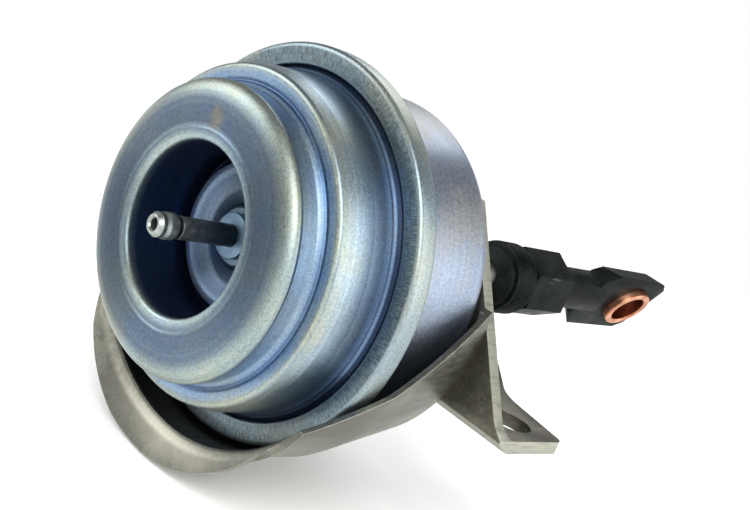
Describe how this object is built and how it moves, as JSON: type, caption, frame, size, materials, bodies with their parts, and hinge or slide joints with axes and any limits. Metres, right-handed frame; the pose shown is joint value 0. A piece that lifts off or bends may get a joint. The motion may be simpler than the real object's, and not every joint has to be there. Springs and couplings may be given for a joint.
{
  "type": "turbocharger vacuum actuator",
  "caption": "Vacuum diaphragm can on an angled bracket with a heat shield, whose sprung rod carries a flat eye.",
  "frame": {"origin": "centre of the right-hand bolt hole, on the bracket foot's mounting face", "axes": "+Y along the rod from the vacuum nipple to the eye, +Z out of the foot's top, +X to the right seen from the nipple"},
  "size_m": [0.0799, 0.1454, 0.0765],
  "materials": {
    "zinc_plate": "satin blue zinc plate",
    "plated_steel": "satin",
    "plain_steel": "satin",
    "spring_steel": "satin",
    "stainless": "satin, warm grey",
    "black_steel": "black oxide",
    "bronze": "satin",
    "rubber": "matt",
    "polymer": "matt"
  },
  "bodies": {
    "housing": {"front_can": "zinc_plate", "rear_can": "zinc_plate", "vacuum_nipple": "plated_steel", "nipple_collar": "plated_steel", "diaphragm": "rubber", "return_spring": "spring_steel", "spring_seat": "polymer", "rod_guide_bush": "polymer", "bush_clip": "spring_steel", "rod_dust_seal": "rubber", "mounting_studs": "plain_steel", "stud_washers": "plain_steel", "stud_nuts": "plain_steel", "bracket": "stainless", "heat_shield": "stainless"},
    "rod": {"actuator_rod": "plated_steel", "diaphragm_piston": "plain_steel", "diaphragm_retainer": "plain_steel", "piston_washer": "plain_steel", "travel_sleeve": "plain_steel", "piston_nut": "plain_steel", "lock_nut": "black_steel", "rod_end": "black_steel", "rod_end_bush": "bronze"}
  },
  "joints": [
    {"name": "rod_slide", "type": "slide", "parent": "housing", "child": "rod", "axis": [0, 1, 0], "range_m": [-0.013, 0], "stiffness_N_per_m": 4500, "springref_m": 0.014, "deforming": ["return_spring", "diaphragm"]}
  ]
}
